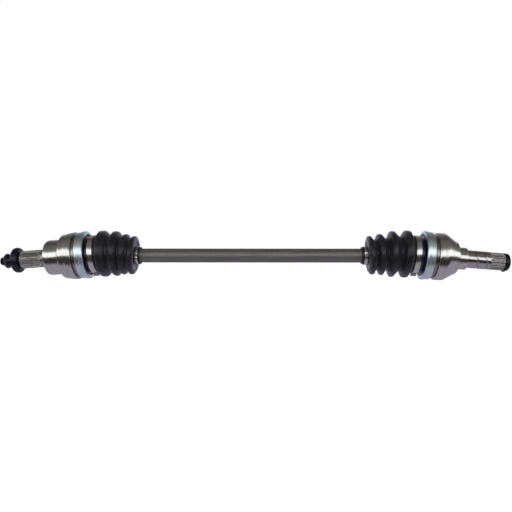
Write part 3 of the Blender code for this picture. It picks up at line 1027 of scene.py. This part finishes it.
def joint_insides():
    """Races, cages, balls and the rings that hold them."""
    race(
        "outer_race_body", "outer_inner_race", OUTER_BAR,
        radius=17.5, half=9.0, bore_r=9.3, cutters=ring_tracks(OUTER_BAR, 7.0),
    )
    race(
        "inner_race_body", "inner_inner_race", INNER_BAR,
        radius=15.4, half=8.0, bore_r=8.9, cutters=straight_tracks(INNER_BAR, -12.0, 12.0),
    )
    cage(
        "outer_cage_body", "outer_cage", "outer_cage_set", OUTER_HALF,
        out_r=23.2, in_r=18.0, half=9.5, window=(13.3, 14.2),
    )
    cage(
        "inner_cage_body", "inner_cage", "inner_cage_set", INNER_HALF,
        out_r=20.6, in_r=15.9, half=8.2, window=(11.7, 12.4),
    )
    upright, carried = "outer_upright_balls", "outer_cage_set"
    outer_bodies = [upright, carried, carried] * 2
    inner_bodies = ["inner_cage_set"] * BALL_COUNT
    balls("outer", OUTER_HALF, OUTER_PITCH_R, OUTER_BALL_R, outer_bodies)
    balls("inner", INNER_HALF, INNER_PITCH_R, INNER_BALL_R, inner_bodies)
    snap_ring(
        "outer_race_circlip_body", "outer_race_circlip", "shaft", OUTER_BAR,
        square_ring(10.9, 9.5, 11.6, 7.9), slot_width=3.0, radius=10.0, material=BLACK_OXIDE,
    )
    snap_ring(
        "inner_race_circlip_body", "inner_race_circlip", "shaft", INNER_BAR,
        square_ring(9.9, 8.5, 11.2, 7.5), slot_width=3.0, radius=9.5, material=BLACK_OXIDE,
    )
    wire_r, ring_r = 1.1, 21.3
    snap_ring(
        "inner_retaining_ring_body", "inner_retaining_ring", "inner_cup", INNER_CUP,
        arc(-21.0, wire_r, 360.0, 0.0, 16, ring_r)[:-1],
        slot_width=6.0, radius=ring_r, material=GROUND_STEEL,
    )


def rings_and_clamps():
    """Snap ring on the gearbox stub, guard rings, and the boots' clamps."""
    sagged = INNER_CUP @ offset(x=-0.75)
    snap_ring(
        "inner_stub_snap_ring_body", "inner_stub_snap_ring", "inner_cup", sagged,
        rounded(square_ring(115.3, 113.4, 14.1, 11.1), 0.7, 3, closed=True),
        slot_width=3.0, radius=12.5, material=BLACK_OXIDE,
    )
    protector_ring(
        "outer_guard", "outer_protector_ring", "outer_cup", OUTER_CUP,
        mouth_u=-13.9, seat_u=-1.7, lip_r=35.5, band_r=34.7,
    )
    protector_ring(
        "inner_guard", "inner_protector_ring", "inner_cup", INNER_CUP,
        mouth_u=-9.8, seat_u=3.6, lip_r=36.5, band_r=35.6,
    )
    large, small = (3.6, 7.5), (1.6, 4.4)
    clamps = (
        ("outer_boot_clamp_large", "outer_cup", OUTER_CUP, -18.6, -26.1, 28.8, 27.9, 183, large),
        ("inner_boot_clamp_large", "inner_cup", INNER_CUP, -16.0, -23.6, 28.8, 27.9, 177, large),
        ("outer_boot_clamp_small", "shaft", OUTER_BAR, -83.2, -88.0, 13.8, 12.9, 272, small),
        ("inner_boot_clamp_small", "shaft", INNER_BAR, -90.8, -96.4, 14.0, 13.2, 88, small),
    )
    for node, body, place, high, low, out_r, in_r, ear_at, ear_size in clamps:
        band_clamp(
            f"{node}_strip", node, body, place, high, low, out_r, in_r, ear_at, ear_size
        )


def build_axle():
    """Every piece of the axle."""
    bar()
    outer_housing()
    inner_housing()
    joint_insides()
    rings_and_clamps()
    hub_washer()
    hub_nut()
    outer_boot()
    inner_boot()


# ---------------------------------------------------------------- stage, light, camera


FLOOR_GAP = 0.028


def floor():
    """Plain pale floor under the axle; reflections see it dimmer than the camera does."""
    work = bmesh.new()
    bmesh.ops.create_grid(work, x_segments=1, y_segments=1, size=30.0)
    mesh = bpy.data.meshes.new("floor")
    work.to_mesh(mesh)
    work.free()
    paint = Surface("floor_white")
    white = paint.shader
    white.inputs["Base Color"].default_value = (0.9, 0.9, 0.91, 1.0)
    white.inputs["Roughness"].default_value = 0.9
    white.inputs["Emission Color"].default_value = (1.0, 1.0, 1.0, 1.0)
    white.inputs["Emission Strength"].default_value = 0.72
    x, y, _ = paint.split(paint.coord)
    in_depth = paint.band(y, -0.100, -0.056)
    in_width = paint.band(paint.math("ABSOLUTE", x), 0.56, 0.46)
    near = paint.math("MULTIPLY", in_depth, in_width)
    dim = paint.add("ShaderNodeEmission")
    colour = paint.mix(near, (0.045, 0.040, 0.036, 1.0), (0.43, 0.402, 0.475, 1.0))
    paint.join(colour, dim.inputs["Color"])
    surface = paint.tree.nodes["Material Output"].inputs["Surface"]
    paint.join(paint.seen_as(white.outputs[0], dim.outputs[0]), surface)
    place = Matrix.Translation(Vector((0.0, 0.0, CAD_BOX[0].z - FLOOR_GAP)))
    link("floor", mesh, place, paint.material)


# Colour of the surround by angle round the axle: 0 faces the camera and 90 is overhead.
SURROUND = (
    (-180.0, (0.17, 0.168, 0.185)),
    (-110.0, (0.19, 0.186, 0.205)),
    (-55.0, (0.22, 0.212, 0.24)),
    (-40.0, (0.08, 0.075, 0.07)),
    (-16.0, (0.03, 0.027, 0.025)),
    (-4.0, (0.08, 0.076, 0.07)),
    (-2.0, (0.30, 0.30, 0.29)),
    (1.0, (0.95, 0.95, 0.95)),
    (21.5, (0.95, 0.95, 0.95)),
    (25.0, (0.50, 0.50, 0.49)),
    (29.0, (0.17, 0.165, 0.155)),
    (37.0, (0.120, 0.112, 0.104)),
    (60.0, (0.098, 0.093, 0.084)),
    (80.0, (0.060, 0.055, 0.050)),
    (89.0, (0.052, 0.046, 0.044)),
    (101.0, (0.075, 0.070, 0.074)),
    (116.0, (0.115, 0.110, 0.120)),
    (135.0, (0.20, 0.195, 0.21)),
    (150.0, (0.30, 0.295, 0.31)),
    (165.0, (0.40, 0.395, 0.41)),
    (180.0, (0.42, 0.415, 0.43)),
)


def studio():
    """Soft studio surround: white to the camera, and the long softboxes in reflections."""
    world = bpy.data.worlds.new("studio")
    bpy.context.scene.world = world
    world.use_nodes = True
    room = Nodes(world.node_tree)
    room.tree.nodes.clear()
    x, y, z = room.split(room.add("ShaderNodeTexCoord").outputs["Generated"])
    fan = room.math("MULTIPLY", room.math("ABSOLUTE", x), 0.6)
    angle = room.math("ARCTAN2", z, room.math("SUBTRACT", fan, y))
    ramp = room.add("ShaderNodeValToRGB")
    room.put(ramp.inputs["Fac"], room.math("MULTIPLY_ADD", angle, 0.5 / math.pi, 0.5))
    bands = ramp.color_ramp.elements
    bands.remove(bands[1])
    for k, (degrees, colour) in enumerate(SURROUND):
        spot = (degrees + 180.0) / 360.0
        element = bands[0] if k == 0 else bands.new(spot)
        element.position = spot
        element.color = (*colour, 1.0)
    light = room.add("ShaderNodeBackground")
    light.inputs["Strength"].default_value = 1.9
    room.join(ramp.outputs["Color"], light.inputs["Color"])
    white = room.add("ShaderNodeBackground")
    white.inputs["Color"].default_value = (1.0, 1.0, 1.0, 1.0)
    out = room.add("ShaderNodeOutputWorld")
    room.join(room.seen_as(white.outputs[0], light.outputs[0]), out.inputs["Surface"])


def camera():
    """Level camera facing the bar squarely, a little to the right of its middle."""
    data = bpy.data.cameras.new("camera")
    data.lens = 37.5
    data.sensor_width = 36.0
    data.shift_x = -0.0378
    item = bpy.data.objects.new("camera", data)
    bpy.context.scene.collection.objects.link(item)
    level, roll = math.radians(90.0), -0.0007
    item.location = (0.029, -0.8, -0.00062)
    item.rotation_euler = (level, roll, 0.0)
    bpy.context.scene.camera = item


build_axle()
floor()
studio()
camera()
bpy.context.scene.view_settings.view_transform = "Standard"
